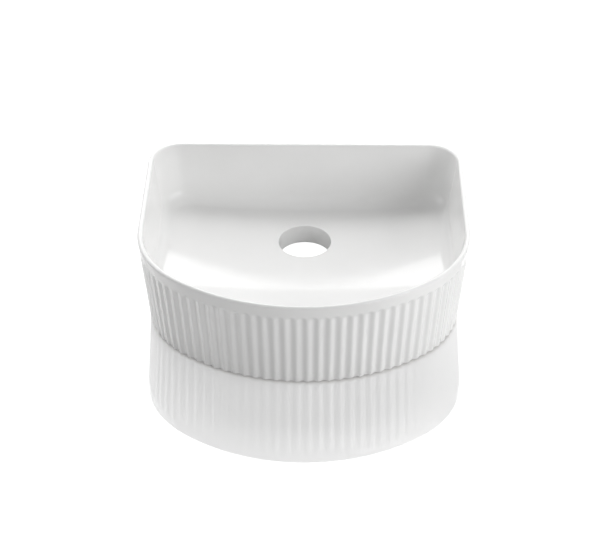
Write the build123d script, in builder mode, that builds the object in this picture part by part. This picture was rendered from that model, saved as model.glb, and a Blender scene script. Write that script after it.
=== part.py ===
from build123d import *
import os
from math import atan2, cos, degrees, hypot, radians, sin, tan

# A D-shaped countertop basin with a fluted skirt, one casting of glazed ceramic
# on six foot pads. Sizes are in millimetres and angles in degrees. The origin is
# on the worktop, under the middle of the basin's plan. The straight back faces
# +Y, the bowed front faces -Y, and +Z is up.

# Plan of the rim, along its outer edge
overall_width = 360
overall_depth = 310
bow_depth = 137
bow_end_turn = 51.6
back_corner_radius = 38

# Skirt
ceramic_height = 107
foot_inset = 9

# Rim and bowl
rim_thickness = 5.5
rim_bevel = 1.6
bowl_draft = 8
bowl_corner_radius = 32.5
bowl_level_z = 31.5
bowl_bend_y = -5
bowl_bend_radius = 200
bowl_front_rise = 11.5
bowl_floor_radius = 23

# Flutes around the sides and the front
flute_pitch = 11.9
flute_width = 10.6
flute_depth = 1.5
flute_root_radius = 4.6
flute_shoulder_lift = 0.2
flute_end_slant = 35
flute_band = 13.5

# Waste hole and the boss around it
waste_hole_diameter = 60
waste_hole_length = 24
waste_bevel = 1.5
waste_recess_radius = 47
waste_from_back = 85
waste_boss_wall = 14
waste_boss_clearance = 3.5

# Hollow underside
foot_ring_width = 15
hollow_height = 17
hollow_draft = 5
hollow_corner_radius = 20

# Foot pads
pads_a_side = 3
pad_diameter = 9
pad_thickness = 1.5

# Places that follow from the sizes above
half_width = overall_width / 2
back_y = overall_depth / 2
bow_start_y = bow_depth - back_y
foot_z = pad_thickness
rim_z = foot_z + ceramic_height
skirt_draft = degrees(atan2(foot_inset, ceramic_height))
skirt_slant = hypot(foot_inset, ceramic_height)
waste_y = back_y - waste_from_back
waste_radius = waste_hole_diameter / 2
boss_radius = waste_radius + waste_boss_wall
boss_foot_z = foot_z + waste_boss_clearance
waste_lip_z = boss_foot_z + waste_hole_length
ring_middle = foot_inset + foot_ring_width / 2
plan_reach = hypot(overall_width, overall_depth)


def d_outline(z, inset, corner_radius):
    """The D-shaped plan at a height, drawn inside the rim's outer edge by an inset."""
    half = half_width - inset
    back = back_y - inset
    rise = bow_depth - inset
    # The bow is three arcs: one turns each end, and a flatter one joins them
    turn = radians(bow_end_turn)
    radius_step = (half - rise) / (sin(turn) + cos(turn) - 1)
    end_radius = half - radius_step * cos(turn)
    bow_radius = end_radius + radius_step
    bow_centre_y = bow_start_y - rise + bow_radius
    with BuildSketch(Plane.XY.offset(z)) as plan:
        with BuildLine():
            CenterArc((0, bow_centre_y), bow_radius, -90, 90 - bow_end_turn)
            CenterArc((half - end_radius, bow_start_y), end_radius, -bow_end_turn, bow_end_turn)
            Line((half, bow_start_y), (half, back - corner_radius))
            CenterArc((half - corner_radius, back - corner_radius), corner_radius, 0, 90)
            Line((half - corner_radius, back), (0, back))
            mirror(about=Plane.YZ)
        make_face()
    return plan.sketch


def front_fraction(rail, z, inset):
    """How far round a closed D-shaped path its foremost point lies."""
    return rail.param_at_point(Vector(0, inset - back_y, z))


def skirt_planes(rail, fractions):
    """Planes that lie on the leaning skirt at fractions of the way round the rim."""
    planes = []
    for fraction in fractions:
        along = rail.tangent_at(fraction)
        level_out = along.cross(Vector(0, 0, 1))
        outwards = level_out.rotate(Axis((0, 0, 0), along), skirt_draft)
        planes.append(Plane(origin=rail.position_at(fraction), x_dir=along, z_dir=outwards))
    return planes


# Blank of the casting: its skirt leans in from the rim to the foot
rim_outline = d_outline(rim_z, 0, back_corner_radius)
with BuildPart() as blank:
    add(rim_outline)
    extrude(amount=-ceramic_height, taper=skirt_draft)

# One flute: a round-bottomed groove with rolled shoulders. The skirt lies on its
# local XY plane. It runs down the skirt along -Y, and above its local origin its
# floor rises at a slant until the groove has left the skirt.
shoulder_rise = flute_depth + flute_shoulder_lift
shoulder_turn = 2 * degrees(atan2(shoulder_rise, flute_width / 2))
shoulder_radius = flute_width / 2 / sin(radians(shoulder_turn)) - flute_root_radius
flute_end_length = flute_depth / tan(radians(flute_end_slant))
flute_top = flute_band + flute_end_length
with BuildPart() as flute:
    with BuildSketch(Plane.XZ) as groove:
        with BuildLine():
            root = CenterArc(
                (0, flute_root_radius - flute_depth),
                flute_root_radius,
                -90 - shoulder_turn,
                2 * shoulder_turn,
            )
            shoulder = CenterArc(
                (flute_width / 2, flute_shoulder_lift - shoulder_radius),
                shoulder_radius,
                90,
                shoulder_turn,
            )
            mirror(shoulder, about=Plane.YZ)
            Polyline(
                (flute_width / 2, flute_shoulder_lift),
                (flute_width / 2, flute_width),
                (-flute_width / 2, flute_width),
                (-flute_width / 2, flute_shoulder_lift),
            )
        make_face()
    extrude(amount=skirt_slant - flute_top + flute_width)
    extrude(groove.sketch, amount=-flute_width)
    end_normal = Vector(0, -sin(radians(flute_end_slant)), cos(radians(flute_end_slant)))
    split(bisect_by=Plane(origin=(0, 0, -flute_depth), x_dir=(1, 0, 0), z_dir=end_normal))

# The flutes go from one back corner round the front to the other, with one on the
# centre line, and leave the straight back plain
rim_rail = rim_outline.wire()
fluted_half = rim_rail.length / 2 - (half_width - back_corner_radius)
flutes_a_side = int((fluted_half - flute_width / 2) / flute_pitch)
flute_fractions = [
    front_fraction(rim_rail, rim_z, 0) + number * flute_pitch / rim_rail.length
    for number in range(-flutes_a_side, flutes_a_side + 1)
]

# Bowl: a drafted D. Its floor is level at the back, sweeps up to the front, and falls
# to the waste hole in a shallow recess.
front_slope = tan(radians(bowl_front_rise))
front_z = bowl_level_z + (bowl_bend_y + plan_reach) * front_slope
with BuildPart() as bowl:
    add(d_outline(rim_z, rim_thickness, bowl_corner_radius))
    extrude(amount=-ceramic_height, taper=bowl_draft)
    with BuildSketch(Plane.YZ) as below_floor:
        with BuildLine():
            FilletPolyline(
                (plan_reach, bowl_level_z),
                (bowl_bend_y, bowl_level_z),
                (-plan_reach, front_z),
                radius=bowl_bend_radius,
            )
            Polyline(
                (-plan_reach, front_z),
                (-plan_reach, 0),
                (plan_reach, 0),
                (plan_reach, bowl_level_z),
            )
        make_face()
    extrude(amount=half_width, both=True, mode=Mode.SUBTRACT)
    # The round between floor and wall runs along the edges that only one floor face has
    floor_faces = bowl.faces().filter_by(lambda face: face.normal_at().Z < -cos(radians(45)))
    all_edges = [edge for face in floor_faces for edge in face.edges()]
    fillet([edge for edge in all_edges if all_edges.count(edge) == 1], bowl_floor_radius)
    with Locations((0, waste_y, waste_lip_z)):
        Cone(
            waste_radius,
            waste_recess_radius,
            bowl_level_z - waste_lip_z,
            align=(Align.CENTER, Align.CENTER, Align.MIN),
        )

# Hollow under the bowl, with the boss of the waste hole left standing in it
with BuildPart() as hollow:
    add(d_outline(foot_z, foot_inset + foot_ring_width, hollow_corner_radius))
    extrude(amount=hollow_height, taper=hollow_draft)
    with BuildSketch(Plane.XY.offset(boss_foot_z)):
        with Locations((0, waste_y)):
            Circle(boss_radius)
    extrude(amount=hollow_height, mode=Mode.SUBTRACT)

# The casting
with BuildPart() as basin_body:
    add(blank.part)
    with Locations(
        *[
            plane.location * Location((0, -flute_top, 0))
            for plane in skirt_planes(rim_rail, flute_fractions)
        ]
    ):
        add(flute.part, mode=Mode.SUBTRACT)
    add(bowl.part, mode=Mode.SUBTRACT)
    chamfer(basin_body.edges().group_by(Axis.Z)[-1], rim_bevel)
    add(hollow.part, mode=Mode.SUBTRACT)
    with BuildSketch(Plane.XY.offset(boss_foot_z)):
        with Locations((0, waste_y)):
            Circle(waste_radius)
    extrude(amount=waste_hole_length, mode=Mode.SUBTRACT)
    chamfer(basin_body.edges(Select.LAST).filter_by(GeomType.CIRCLE), waste_bevel)
basin_body.part.label = "basin_body"

os.makedirs("parts", exist_ok=True)
export_step(basin_body.part, "parts/basin_body.step")

# Foot pads, evenly spaced along the middle of the foot ring on either side
pad_rail = d_outline(foot_z, ring_middle, back_corner_radius - ring_middle).wire()
pad_spacing = 1 / (2 * pads_a_side)
for number in range(2 * pads_a_side):
    fraction = front_fraction(pad_rail, foot_z, ring_middle) + (number + 0.5) * pad_spacing
    with BuildPart() as foot_pad:
        with BuildSketch():
            with Locations(pad_rail.position_at(fraction % 1)):
                Circle(pad_diameter / 2)
        extrude(amount=pad_thickness)
    foot_pad.part.label = f"foot_pad_{number + 1}"
    export_step(foot_pad.part, f"parts/{foot_pad.part.label}.step")
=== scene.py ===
import math

import bpy
import numpy as np
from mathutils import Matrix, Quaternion, Vector


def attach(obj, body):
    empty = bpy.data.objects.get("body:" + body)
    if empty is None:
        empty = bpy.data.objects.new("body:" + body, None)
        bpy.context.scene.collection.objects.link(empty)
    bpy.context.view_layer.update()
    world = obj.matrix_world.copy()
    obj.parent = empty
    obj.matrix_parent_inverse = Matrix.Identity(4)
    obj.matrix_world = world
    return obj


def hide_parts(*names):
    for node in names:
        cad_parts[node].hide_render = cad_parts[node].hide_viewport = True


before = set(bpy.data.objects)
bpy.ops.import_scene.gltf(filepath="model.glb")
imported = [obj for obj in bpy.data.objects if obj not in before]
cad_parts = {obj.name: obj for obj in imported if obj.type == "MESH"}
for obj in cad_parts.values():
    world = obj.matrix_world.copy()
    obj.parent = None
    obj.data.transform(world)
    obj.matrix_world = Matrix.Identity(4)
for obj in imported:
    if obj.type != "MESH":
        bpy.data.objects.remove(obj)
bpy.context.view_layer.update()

# Every length is in metres, in the CAD frame: the back is at +Y and +Z is up.

# Plan of the rim, along its outer edge
HALF_WIDTH = 0.180
BACK_Y = 0.155
BOW_DEPTH = 0.137
BOW_END_TURN = math.radians(51.6)
CORNER_RADIUS = 0.038

# Section
FOOT_Z = 0.0015
RIM_Z = 0.1085
FOOT_INSET = 0.009
FOOT_EDGE = 0.0015
RIM_THICKNESS = 0.0055
RIM_EDGE = 0.0026
BOWL_DRAFT = math.radians(8)
BOWL_FILLET = 0.016
BOWL_CORNER_RADIUS = 0.025
BOWL_CORNER_FADE = 0.008
DISH_RISE = 0.697
DISH_STRETCH = 0.7457

# Flutes
FLUTE_PITCH = 0.0119
FLUTES_A_SIDE = 36
FLUTE_DEPTH = 0.00175
FLUTE_BAND = 0.0135
FLUTE_CROWN = 0.42

# Waste hole, boss and hollow underside
WASTE = np.array([0.0, 0.070])
WASTE_RADIUS = 0.030
WASTE_LIP_Z = 0.029
WASTE_EDGE = 0.0008
BOSS_RADIUS = 0.044
BOSS_FOOT_Z = 0.005
BOSS_EDGE = 0.001
BOSS_ROOT = 0.002
HOLLOW_INSET = 0.024
HOLLOW_TOP_Z = 0.0185
HOLLOW_DRAFT = math.radians(5)
HOLLOW_EDGE = 0.003

# How finely the surface is drawn: columns run up and down it, rows run round it
FLUTE_COLUMNS = 10
CORNER_COLUMNS = 8
BACK_COLUMNS = 24
FOOT_ROWS = 6
FLUTE_ROWS = 10
FLUTE_TOP_ROWS = 14
RIM_ROWS = 10
WALL_SHARES = (0.2, 0.4, 0.6, 0.8, 0.93)
FILLET_ROWS = 16
FLOOR_ROWS = 15
LIP_ROWS = 6
BOSS_ROWS = 4
CEILING_SHARES = (0.35, 0.7, 1.0)
FLUTE_ROWS_START = 0.008
FLUTE_ROWS_GAP = 0.002
FLUTE_TOP_MARGIN = 0.0014
BAND_HEIGHTS = (0.0985, 0.102)
BORE_HEIGHTS = (0.020, 0.012)

# Sizes that follow from those above
SKIRT_LEAN = math.atan2(FOOT_INSET, RIM_Z - FOOT_Z)
BOW_START_Y = BOW_DEPTH - BACK_Y
STRAIGHT_X = HALF_WIDTH - CORNER_RADIUS
STRAIGHT_Y = BACK_Y - CORNER_RADIUS


def half_outline():
    """The right half of the rim outline, front centre to back centre, as (length, arc centre
    or line start, radius, first angle of the normal). Radius 0 is a straight line."""
    step = (HALF_WIDTH - BOW_DEPTH) / (math.sin(BOW_END_TURN) + math.cos(BOW_END_TURN) - 1)
    end_radius = HALF_WIDTH - step * math.cos(BOW_END_TURN)
    bow_radius = end_radius + step
    bow_turn = math.pi / 2 - BOW_END_TURN
    end_x = HALF_WIDTH - end_radius
    return [
        (bow_radius * bow_turn, (0, bow_radius - BACK_Y), bow_radius, -math.pi / 2),
        (end_radius * BOW_END_TURN, (end_x, BOW_START_Y), end_radius, -BOW_END_TURN),
        (STRAIGHT_Y - BOW_START_Y, (HALF_WIDTH, BOW_START_Y), 0, 0.0),
        (CORNER_RADIUS * math.pi / 2, (STRAIGHT_X, STRAIGHT_Y), CORNER_RADIUS, 0.0),
        (STRAIGHT_X, (STRAIGHT_X, BACK_Y), 0, math.pi / 2),
    ]


def walk(distances):
    """Points and outward normals at distances along the rim outline from its front centre.
    Negative distances run round the left side."""
    points, normals = [], []
    parts = half_outline()
    for distance in distances:
        rest = abs(distance)
        for part in parts:
            if rest <= part[0] or part is parts[-1]:
                break
            rest -= part[0]
        _, (x, y), radius, angle = part
        if radius:
            angle, rest = angle + rest / radius, 0
        normal_x, normal_y = math.cos(angle), math.sin(angle)
        x += radius * normal_x - rest * normal_y
        y += radius * normal_y + rest * normal_x
        mirror = -1 if distance < 0 else 1
        points.append((mirror * x, y))
        normals.append((mirror * normal_x, normal_y))
    return np.array(points), np.array(normals)


def skirt_inset(z):
    """How far inside the rim outline the skirt is at a height."""
    return FOOT_INSET * (RIM_Z - z) / (RIM_Z - FOOT_Z)


def floor_z(xy):
    """Height of the bowl's floor: a shallow dish, flatter across than front to back,
    with its lowest point in the waste hole."""
    reach = (xy[:, 0] * DISH_STRETCH) ** 2 + (xy[:, 1] - WASTE[1]) ** 2
    return WASTE_LIP_Z + DISH_RISE * (reach - WASTE_RADIUS**2)


# Columns of the basin's surface: fine along the flutes, coarser along the plain back
half_length = sum(part[0] for part in half_outline())
fluted_end = (FLUTES_A_SIDE + 0.5) * FLUTE_PITCH
fluted_columns = int((FLUTES_A_SIDE + 0.5) * FLUTE_COLUMNS) + 1
fluted = np.arange(0, fluted_columns) * FLUTE_PITCH / FLUTE_COLUMNS
corner_end = half_length - STRAIGHT_X
turning = np.linspace(fluted_end, corner_end, CORNER_COLUMNS)[1:]
plain = np.linspace(corner_end, half_length, BACK_COLUMNS)[1:]
right = np.concatenate([fluted, turning, plain])
along = np.concatenate([-right[:0:-1], right])[1:]
rim, outward = walk(along)
columns = len(along)
pitches = along / FLUTE_PITCH
across = np.where(np.abs(along) <= fluted_end, pitches - np.round(pitches), 0.5)

rows = []


def ring(inset):
    """Plan points at an inset from the rim outline. Deeper in, the back corners keep a
    smallest radius and the straights beside them shorten."""
    inset = np.broadcast_to(inset, (columns,))
    true_radius = CORNER_RADIUS - inset
    fade = 0.5 + 0.5 * np.tanh((BOWL_CORNER_RADIUS - true_radius) / BOWL_CORNER_FADE)
    extra = BOWL_CORNER_RADIUS * fade * np.minimum(1, inset / CORNER_RADIUS)
    radius = np.maximum(true_radius, 0) + extra
    end_x, end_y = HALF_WIDTH - inset - radius, BACK_Y - inset - radius
    sideways, backwards = np.abs(rim[:, 0]) > STRAIGHT_X, rim[:, 1] > STRAIGHT_Y
    centre = np.column_stack([np.sign(rim[:, 0]) * end_x, end_y])
    corner = centre + outward * radius[:, None]
    plan = np.where((sideways & backwards)[:, None], corner, rim - outward * inset[:, None])
    from_bow = (rim[:, 1] - BOW_START_Y) / (STRAIGHT_Y - BOW_START_Y)
    on_side = (from_bow > 0) & ~backwards
    plan[:, 1] = np.where(on_side, BOW_START_Y + from_bow * (end_y - BOW_START_Y), plan[:, 1])
    plan[:, 0] = np.where(backwards & ~sideways, rim[:, 0] * end_x / STRAIGHT_X, plan[:, 0])
    return plan


def row(inset, z, plan=None):
    """Adds one ring of points round the basin, at an inset from the rim outline or on
    a given plan."""
    flat = ring(inset) if plan is None else plan
    rows.append(np.column_stack([flat, np.broadcast_to(z, (columns,))]))


def groove(z):
    """Depth of the flutes at a height: a soft wave that ends in a round top under the
    plain band."""
    crown = RIM_Z - FLUTE_BAND - FLUTE_CROWN * FLUTE_PITCH
    above = max(0.0, (z - crown) / FLUTE_PITCH)
    off = np.minimum(np.hypot(across, above), 0.5)
    return FLUTE_DEPTH * (0.5 + 0.5 * np.cos(2 * np.pi * off))


# Foot ring and skirt, from below
row(HOLLOW_INSET, FOOT_Z)
arc_z = FOOT_Z + FOOT_EDGE
arc_inset = skirt_inset(arc_z) + FOOT_EDGE / math.cos(SKIRT_LEAN)
for angle in np.linspace(-math.pi / 2, -SKIRT_LEAN, FOOT_ROWS):
    z = arc_z + FOOT_EDGE * math.sin(angle)
    row(arc_inset - FOOT_EDGE * math.cos(angle) + groove(z), z)
tops_low = RIM_Z - FLUTE_BAND - 0.5 * FLUTE_PITCH
tops_high = RIM_Z - FLUTE_BAND + FLUTE_TOP_MARGIN
skirt_z = [
    *np.linspace(FLUTE_ROWS_START, tops_low - FLUTE_ROWS_GAP, FLUTE_ROWS),
    *np.linspace(tops_low, tops_high, FLUTE_TOP_ROWS),
    *BAND_HEIGHTS,
]
for z in skirt_z:
    row(skirt_inset(z) + groove(z), z)

# Rim: two quarter rounds that nearly meet
arc_z = RIM_Z - RIM_EDGE
arc_inset = skirt_inset(arc_z) + RIM_EDGE / math.cos(SKIRT_LEAN)
for angle in np.linspace(-SKIRT_LEAN, math.pi / 2, RIM_ROWS):
    row(arc_inset - RIM_EDGE * math.cos(angle), arc_z + RIM_EDGE * math.sin(angle))
arc_inset = RIM_THICKNESS + RIM_EDGE * math.tan(BOWL_DRAFT) - RIM_EDGE / math.cos(BOWL_DRAFT)
for angle in np.linspace(math.pi / 2, BOWL_DRAFT, RIM_ROWS):
    row(arc_inset + RIM_EDGE * math.cos(angle), arc_z + RIM_EDGE * math.sin(angle))

# Where the bowl's wall and floor would meet, and the round between them: the middle of its
# arc, and its touch on the wall
wall_top_z = rows[-1][0, 2]
wall_top = RIM_THICKNESS + (RIM_Z - wall_top_z) * math.tan(BOWL_DRAFT)
meet = np.full(columns, wall_top)
settling_steps = 12
for _ in range(settling_steps):
    meet = RIM_THICKNESS + (RIM_Z - floor_z(ring(meet))) * math.tan(BOWL_DRAFT)
meet_z = floor_z(ring(meet))
nudge = 0.00001
here, further_in = (rim - outward * depth[:, None] for depth in (meet, meet + nudge))
slope = (floor_z(further_in) - floor_z(here)) / nudge
lean = np.arctan(slope)
run = BOWL_FILLET / np.tan((math.pi / 2 + BOWL_DRAFT - lean) / 2)
touch_inset = meet - run * math.sin(BOWL_DRAFT)
touch_z = meet_z + run * math.cos(BOWL_DRAFT)
centre_inset = touch_inset + BOWL_FILLET * math.cos(BOWL_DRAFT)
centre_z = touch_z + BOWL_FILLET * math.sin(BOWL_DRAFT)

# Bowl wall, and the round that leads it into the floor
for share in WALL_SHARES:
    row(wall_top + (touch_inset - wall_top) * share, wall_top_z + (touch_z - wall_top_z) * share)
for share in np.linspace(0, 1, FILLET_ROWS):
    angle = BOWL_DRAFT + (math.pi / 2 + lean - BOWL_DRAFT) * share
    inset = centre_inset - BOWL_FILLET * np.cos(angle)
    z = centre_z - BOWL_FILLET * np.sin(angle)
    # The round meets a straight slope, and the dish curves away from it
    off_slope = floor_z(ring(inset)) - meet_z - slope * (inset - meet)
    row(inset, z + off_slope * share * share * (3 - 2 * share))

# Floor to the waste hole, its round edge, the bore and the boss under it
edge_of_floor = rows[-1][:, :2]
spoke = (edge_of_floor - WASTE) / np.linalg.norm(edge_of_floor - WASTE, axis=1)[:, None]
lip_start = WASTE + spoke * (WASTE_RADIUS + WASTE_EDGE)
for share in np.linspace(0, 1, FLOOR_ROWS)[1:]:
    plan = edge_of_floor + (lip_start - edge_of_floor) * share
    row(0, floor_z(plan), plan)


def waste_round(z, first, last, count):
    """Rows over a round edge of the waste hole whose middle is at a height."""
    for angle in np.linspace(first, last, count)[1:]:
        reach = WASTE_RADIUS + WASTE_EDGE + WASTE_EDGE * math.cos(angle)
        row(0, z + WASTE_EDGE * math.sin(angle), WASTE + spoke * reach)


waste_round(rows[-1][:, 2] - WASTE_EDGE, math.pi / 2, math.pi, LIP_ROWS)
for z in (*BORE_HEIGHTS, BOSS_FOOT_Z + WASTE_EDGE):
    row(0, z, WASTE + spoke * WASTE_RADIUS)
waste_round(BOSS_FOOT_Z + WASTE_EDGE, math.pi, 1.5 * math.pi, BOSS_ROWS)
for reach, z in (
    (BOSS_RADIUS - BOSS_EDGE, BOSS_FOOT_Z),
    (BOSS_RADIUS, BOSS_FOOT_Z + BOSS_EDGE),
    (BOSS_RADIUS, HOLLOW_TOP_Z - BOSS_ROOT),
    (BOSS_RADIUS + BOSS_ROOT, HOLLOW_TOP_Z),
):
    row(0, z, WASTE + spoke * reach)

# Ceiling of the hollow, and its wall down to the foot ring
ceiling_start = rows[-1][:, :2]
wall_inset = HOLLOW_INSET + (HOLLOW_TOP_Z - FOOT_Z) * math.tan(HOLLOW_DRAFT)
ceiling_end = rim - outward * (wall_inset + HOLLOW_EDGE)
for share in CEILING_SHARES:
    row(0, HOLLOW_TOP_Z, ceiling_start + (ceiling_end - ceiling_start) * share)
row(wall_inset, HOLLOW_TOP_Z - HOLLOW_EDGE)

# One closed surface of all the rings
points = np.concatenate(rows)
column = np.arange(columns)
faces = []
for number in range(len(rows)):
    low = number * columns + column
    high = ((number + 1) % len(rows)) * columns + column
    faces.append(np.column_stack([low, np.roll(low, -1), np.roll(high, -1), high]))
faces = np.concatenate(faces)
mesh = bpy.data.meshes.new("basin")
mesh.from_pydata(points.tolist(), [], faces.tolist())
mesh.validate()
mesh.shade_smooth()
basin = bpy.data.objects.new("basin", mesh)
bpy.context.collection.objects.link(basin)


def material(name):
    """A new material with its node tree emptied down to a Principled shader."""
    made = bpy.data.materials.new(name)
    made.use_nodes = True
    tree = made.node_tree
    tree.nodes.clear()
    output = tree.nodes.new("ShaderNodeOutputMaterial")
    shader = tree.nodes.new("ShaderNodeBsdfPrincipled")
    tree.links.new(shader.outputs["BSDF"], output.inputs["Surface"])
    return made, tree, shader


def noise(tree, scale, detail=3.0):
    """A noise texture over the piece's own coordinates."""
    where = tree.nodes.new("ShaderNodeTexCoord")
    texture = tree.nodes.new("ShaderNodeTexNoise")
    texture.inputs["Scale"].default_value = scale
    texture.inputs["Detail"].default_value = detail
    tree.links.new(where.outputs["Object"], texture.inputs["Vector"])
    return texture.outputs["Fac"]


def spread(tree, value, low, high, start=0.35, end=0.65):
    """Maps a value from start..end to low..high."""
    node = tree.nodes.new("ShaderNodeMapRange")
    for socket, number in zip(node.inputs[1:5], (start, end, low, high), strict=True):
        socket.default_value = number
    tree.links.new(value, node.inputs["Value"])
    return node.outputs["Result"]


def combine(tree, operation, first, second):
    """Adds, multiplies or takes the larger of two values."""
    node = tree.nodes.new("ShaderNodeMath")
    node.operation = operation
    for socket, value in zip(node.inputs[:2], (first, second), strict=True):
        tree.links.new(value, socket)
    return node.outputs[0]


def blend_colours(tree, factor, first, second):
    """Mixes two colours by a factor."""
    node = tree.nodes.new("ShaderNodeMix")
    node.data_type = "RGBA"
    tree.links.new(factor, node.inputs["Factor"])
    for socket, colour in ((node.inputs[6], first), (node.inputs[7], second)):
        if isinstance(colour, tuple):
            socket.default_value = (*colour, 1.0)
        else:
            tree.links.new(colour, socket)
    return node.outputs[2]


def bump(tree, shader, height, strength, distance):
    """A bump from a height on a shader."""
    node = tree.nodes.new("ShaderNodeBump")
    node.inputs["Strength"].default_value = strength
    node.inputs["Distance"].default_value = distance
    tree.links.new(height, node.inputs["Height"])
    tree.links.new(node.outputs["Normal"], shader.inputs["Normal"])


# White glaze, bare on the foot ring where the casting stood in the kiln
BARE_HEIGHT, GLAZED_HEIGHT = 0.0002, 0.0006
BISQUE_ROUGHNESS = 0.7
GLAZE_IOR = 1.52
glaze, tree, shader = material("white_glaze")
pooling = spread(tree, noise(tree, 14.0), 0.0, 1.0)
glazed = blend_colours(tree, pooling, (0.85, 0.85, 0.845), (0.87, 0.87, 0.865))
grain = spread(tree, noise(tree, 900.0, 2.0), 0.0, 1.0)
bisque = blend_colours(tree, grain, (0.62, 0.59, 0.54), (0.72, 0.69, 0.64))
where = tree.nodes.new("ShaderNodeTexCoord")
split = tree.nodes.new("ShaderNodeSeparateXYZ")
tree.links.new(where.outputs["Object"], split.inputs["Vector"])
bare = spread(tree, split.outputs["Z"], 1.0, 0.0, FOOT_Z + BARE_HEIGHT, FOOT_Z + GLAZED_HEIGHT)
tree.links.new(blend_colours(tree, bare, glazed, bisque), shader.inputs["Base Color"])
gloss = spread(tree, noise(tree, 60.0), 0.05, 0.09)
rough = tree.nodes.new("ShaderNodeMix")
tree.links.new(bare, rough.inputs["Factor"])
tree.links.new(gloss, rough.inputs[2])
rough.inputs[3].default_value = BISQUE_ROUGHNESS
tree.links.new(rough.outputs[0], shader.inputs["Roughness"])
shader.inputs["IOR"].default_value = GLAZE_IOR
bump(tree, shader, noise(tree, 110.0, 2.0), strength=0.04, distance=0.0006)
mesh.materials.append(glaze)

# Soft clear-grey rubber of the foot pads
rubber, tree, shader = material("pad_rubber")
mottle = spread(tree, noise(tree, 400.0), 0.0, 1.0)
mottled = blend_colours(tree, mottle, (0.52, 0.52, 0.51), (0.60, 0.60, 0.59))
tree.links.new(mottled, shader.inputs["Base Color"])
tree.links.new(spread(tree, noise(tree, 700.0), 0.45, 0.65), shader.inputs["Roughness"])
bump(tree, shader, noise(tree, 1500.0, 2.0), strength=0.15, distance=0.0003)
for name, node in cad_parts.items():
    if name.startswith("foot_pad"):
        node.data.materials.clear()
        node.data.materials.append(rubber)

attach(basin, "root")
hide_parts("basin_body")

# Worktop: white, and faintly mirroring near the basin. What the camera sees of it further
# out is lifted to plain white. The patch below the open waste hole, which lies in the basin's
# shade, gets painted light for the camera only. The fades run between distances from the basin's
# middle and from the hole's axis.
WORKTOP_HALF = 6.0
WORKTOP_GREY = 0.72
MIRROR_SHARE = 0.22
MIRROR_ROUGHNESS = 0.03
MIRROR_FADE = (0.34, 0.44)
NEAR_LIFT, FAR_LIFT = 0.19, 1.0
LIFT_FADE = (0.34, 0.70)
# Painted light under the waste hole, where the basin's shade falls: its strength, then its fade
HOLE_PAINTED_LIGHT = 0.9
HOLE_PAINTED_LIGHT_FADE = (0.040, 0.043)
corner_signs = ((-1, -1), (1, -1), (1, 1), (-1, 1))
floor_corners = [(x * WORKTOP_HALF, y * WORKTOP_HALF, 0) for x, y in corner_signs]
floor_mesh = bpy.data.meshes.new("worktop")
floor_mesh.from_pydata(floor_corners, [], [(0, 1, 2, 3)])
worktop = bpy.data.objects.new("worktop", floor_mesh)
bpy.context.collection.objects.link(worktop)
surface = bpy.data.materials.new("worktop_white")
surface.use_nodes = True
tree = surface.node_tree
tree.nodes.clear()
output = tree.nodes.new("ShaderNodeOutputMaterial")
matt = tree.nodes.new("ShaderNodeBsdfDiffuse")
matt.inputs["Color"].default_value = (WORKTOP_GREY, WORKTOP_GREY, WORKTOP_GREY, 1)
mirror = tree.nodes.new("ShaderNodeBsdfGlossy")
mirror.inputs["Color"].default_value = (1, 1, 1, 1)
mirror.inputs["Roughness"].default_value = MIRROR_ROUGHNESS
polished = tree.nodes.new("ShaderNodeMixShader")
tree.links.new(matt.outputs[0], polished.inputs[1])
tree.links.new(mirror.outputs[0], polished.inputs[2])
seen = tree.nodes.new("ShaderNodeLightPath")
lift = tree.nodes.new("ShaderNodeEmission")
where = tree.nodes.new("ShaderNodeTexCoord")


def away_from(place):
    """Distance of a point of the worktop from a place."""
    away = tree.nodes.new("ShaderNodeVectorMath")
    away.operation = "DISTANCE"
    away.inputs[1].default_value = place
    tree.links.new(where.outputs["Object"], away.inputs[0])
    return away.outputs["Value"]


from_middle = away_from((0, 0, 0))
gleam = spread(tree, from_middle, MIRROR_SHARE, 0.0, *MIRROR_FADE)
tree.links.new(gleam, polished.inputs["Fac"])
# Painted light: the camera sees the shaded worktop under the waste hole as white
painted_light_under_hole = spread(tree, away_from((*WASTE, 0)), HOLE_PAINTED_LIGHT, 0.0, *HOLE_PAINTED_LIGHT_FADE)
far_out = spread(tree, from_middle, NEAR_LIFT, FAR_LIFT, *LIFT_FADE)
backdrop_white_and_painted_light = combine(tree, "ADD", painted_light_under_hole, far_out)
strength = combine(tree, "MULTIPLY", backdrop_white_and_painted_light, seen.outputs["Is Camera Ray"])
tree.links.new(strength, lift.inputs["Strength"])
both = tree.nodes.new("ShaderNodeAddShader")
tree.links.new(polished.outputs[0], both.inputs[0])
tree.links.new(lift.outputs[0], both.inputs[1])
tree.links.new(both.outputs[0], output.inputs["Surface"])
floor_mesh.materials.append(surface)

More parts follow.
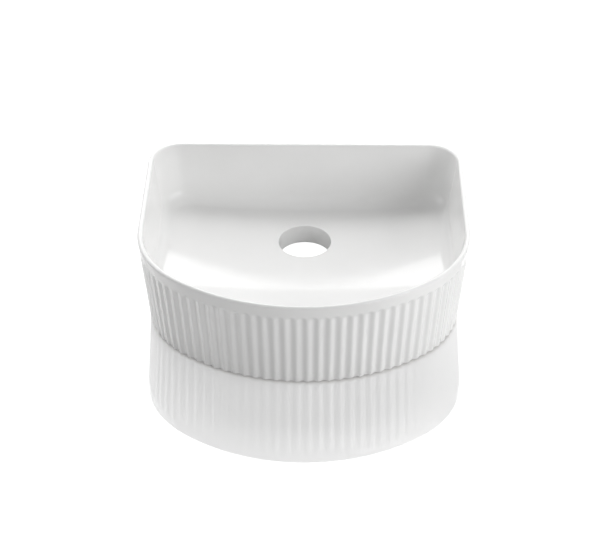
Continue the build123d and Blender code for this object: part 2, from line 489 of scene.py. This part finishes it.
# World: soft white all round, plain white where the camera or a reflection sees it
SOFT_STRENGTH = 0.32
world = bpy.data.worlds.new("studio")
bpy.context.scene.world = world
world.use_nodes = True
tree = world.node_tree
tree.nodes.clear()
output = tree.nodes.new("ShaderNodeOutputWorld")
soft = tree.nodes.new("ShaderNodeBackground")
soft.inputs["Color"].default_value = (0.8, 0.8, 0.8, 1)
soft.inputs["Strength"].default_value = SOFT_STRENGTH
white = tree.nodes.new("ShaderNodeBackground")
white.inputs["Color"].default_value = (1, 1, 1, 1)
white.inputs["Strength"].default_value = 1.0
seen = tree.nodes.new("ShaderNodeLightPath")
either = combine(
    tree, "MAXIMUM", seen.outputs["Is Camera Ray"], seen.outputs["Is Glossy Ray"]
)
pick = tree.nodes.new("ShaderNodeMixShader")
tree.links.new(either, pick.inputs["Fac"])
tree.links.new(soft.outputs[0], pick.inputs[1])
tree.links.new(white.outputs[0], pick.inputs[2])
tree.links.new(pick.outputs[0], output.inputs["Surface"])


# Lamps, all facing the middle of the basin
LAMP_AIM = Vector((0, 0, 0.05))


def softbox(name, place, width, height, radiance):
    """A rectangular lamp of a given brightness per area. The camera doesn't see it."""
    lamp = bpy.data.lights.new(name, "AREA")
    lamp.shape = "RECTANGLE"
    lamp.size, lamp.size_y = width, height
    lamp.energy = radiance * math.pi * width * height
    holder = bpy.data.objects.new(name, lamp)
    holder.location = place
    holder.rotation_mode = "QUATERNION"
    holder.rotation_quaternion = (LAMP_AIM - Vector(place)).to_track_quat("-Z", "Y")
    holder.visible_camera = False
    bpy.context.collection.objects.link(holder)


softbox("back_lamp", (0, 1.6, 1.6), 3.0, 1.8, 1.95)
softbox("high_lamp", (0, 1.3, 2.0), 2.0, 0.6, 2.2)
softbox("right_lamp", (1.66, -0.48, 1.0), 1.4, 1.4, 1.5)
softbox("right_front_lamp", (1.6, -1.6, 0.9), 1.2, 1.2, 3.1)
softbox("right_low_lamp", (1.9, -0.2, 0.45), 1.4, 0.7, 0.9)
softbox("left_lamp", (-1.66, 0.48, 1.0), 1.4, 1.4, 1.8)

# Camera at the photograph's place
FOCAL_PIXELS = 1699.2
IMAGE_WIDTH = 600
CAMERA_PLACE = (0.0215, -1.5079, 1.1813)
CAMERA_AIM = (-0.0054, 0.0539, 0.0)
CAMERA_ROLL = math.radians(-0.2513)
camera_data = bpy.data.cameras.new("camera")
camera_data.sensor_width = 36.0
camera_data.lens = FOCAL_PIXELS * camera_data.sensor_width / IMAGE_WIDTH
camera = bpy.data.objects.new("camera", camera_data)
camera.location = CAMERA_PLACE
camera.rotation_mode = "QUATERNION"
look = Vector(CAMERA_AIM) - Vector(CAMERA_PLACE)
camera.rotation_quaternion = look.to_track_quat("-Z", "Y") @ Quaternion((0, 0, 1), CAMERA_ROLL)
bpy.context.collection.objects.link(camera)
bpy.context.scene.camera = camera
bpy.context.scene.view_settings.view_transform = "Standard"
